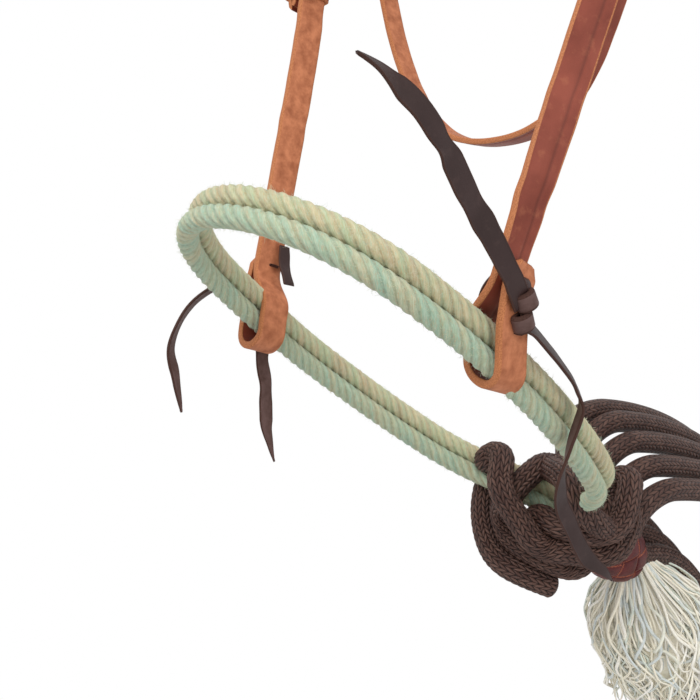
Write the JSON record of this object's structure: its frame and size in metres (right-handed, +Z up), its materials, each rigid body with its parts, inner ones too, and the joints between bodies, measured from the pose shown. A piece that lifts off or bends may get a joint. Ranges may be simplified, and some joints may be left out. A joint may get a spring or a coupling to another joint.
{
  "type": "rope noseband hackamore",
  "caption": "Leather headstall with a doubled laid-rope noseband, laced cheek ties, heel knot with tassel and braided rope reins gathered in a hank.",
  "frame": {"origin": "middle of the crown's underside, where a peg or the horse's poll carries the headstall", "axes": "+Z up as it hangs, -Y towards the nose, +X towards the horse's left"},
  "size_m": [0.2764, 0.5475, 1.0053],
  "materials": {
    "strap_leather": "oiled harness leather, reddish brown, with raw tan edges",
    "dark_lace": "soft oiled lace leather, dark brown",
    "buckle_steel": "satin stainless wire",
    "pale_rope": "fuzzy laid rope, mint green with cream",
    "plaited_leather": "plaited burgundy leather with tan edges",
    "rope_fibre": "frayed off-white rope fibre",
    "brown_rope": "braided dark brown rope"
  },
  "bodies": {
    "headstall": {"crown_strap": "strap_leather", "browband": "strap_leather", "cheek_strap_left": "strap_leather", "cheek_strap_right": "strap_leather", "cheek_buckle_left": "buckle_steel", "cheek_buckle_right": "buckle_steel", "lace_knot_left": "dark_lace", "lace_knot_right": "dark_lace", "lace_upper_tail_left": "dark_lace", "lace_upper_tail_right": "dark_lace", "lace_lower_tail_left": "dark_lace", "lace_lower_tail_right": "dark_lace"},
    "noseband": {"noseband_upper_run": "pale_rope", "noseband_lower_run": "pale_rope", "heel_knot": "plaited_leather", "rein_wraps": "brown_rope", "rein_lead": "brown_rope", "rein_hank": "brown_rope", "rein_tail": "brown_rope", "hank_tie": "dark_lace"},
    "tassel": {"tassel": "rope_fibre"},
    "throatlatch": {"throatlatch_strap": "strap_leather", "throat_buckle": "buckle_steel"},
    "cheek_tongue_left": {"cheek_tongue_left": "buckle_steel"},
    "cheek_tongue_right": {"cheek_tongue_right": "buckle_steel"},
    "throat_tongue": {"throat_tongue": "buckle_steel"},
    "cheek_keeper_left": {"cheek_keeper_left": "strap_leather"},
    "cheek_keeper_right": {"cheek_keeper_right": "strap_leather"},
    "throat_keeper": {"throat_keeper": "strap_leather"}
  },
  "joints": [
    {"name": "noseband_tilt", "type": "hinge", "parent": "headstall", "child": "noseband", "pos_m": [0, -0.0444, -0.4439], "axis": [1, 0, 0], "range_deg": [0, 24]},
    {"name": "tassel_swing", "type": "hinge", "parent": "noseband", "child": "tassel", "pos_m": [0, 0.19418, -0.57614], "axis": [1, 0, 0], "range_deg": [-15, 15], "stiffness_Nm_per_rad": 1},
    {"name": "throatlatch_swing", "type": "hinge", "parent": "headstall", "child": "throatlatch", "pos_m": [0, 0.009, 0.00415], "axis": [1, 0, 0], "range_deg": [-4, 4]},
    {"name": "cheek_tongue_left_pivot", "type": "hinge", "parent": "headstall", "child": "cheek_tongue_left", "pos_m": [0.11814, -0.01312, -0.22137], "axis": [0, 0.9903, -0.1392], "range_deg": [0, 30]},
    {"name": "cheek_tongue_right_pivot", "type": "hinge", "parent": "headstall", "child": "cheek_tongue_right", "pos_m": [-0.11814, -0.01312, -0.22137], "axis": [0, 0.9903, -0.1392], "range_deg": [-30, 0]},
    {"name": "throat_tongue_pivot", "type": "hinge", "parent": "throatlatch", "child": "throat_tongue", "pos_m": [0.10364, 0.02395, -0.20963], "axis": [0, 0.9976, 0.0698], "range_deg": [0, 30]},
    {"name": "cheek_keeper_left_slide", "type": "slide", "parent": "headstall", "child": "cheek_keeper_left", "axis": [0.1392, 0.1378, 0.9806], "range_m": [-0.005, 0.015]},
    {"name": "cheek_keeper_right_slide", "type": "slide", "parent": "headstall", "child": "cheek_keeper_right", "axis": [-0.1392, 0.1378, 0.9806], "range_m": [-0.005, 0.015]},
    {"name": "throat_keeper_slide", "type": "slide", "parent": "throatlatch", "child": "throat_keeper", "axis": [0.5024, -0.0603, 0.8625], "range_m": [-0.005, 0.008]}
  ]
}
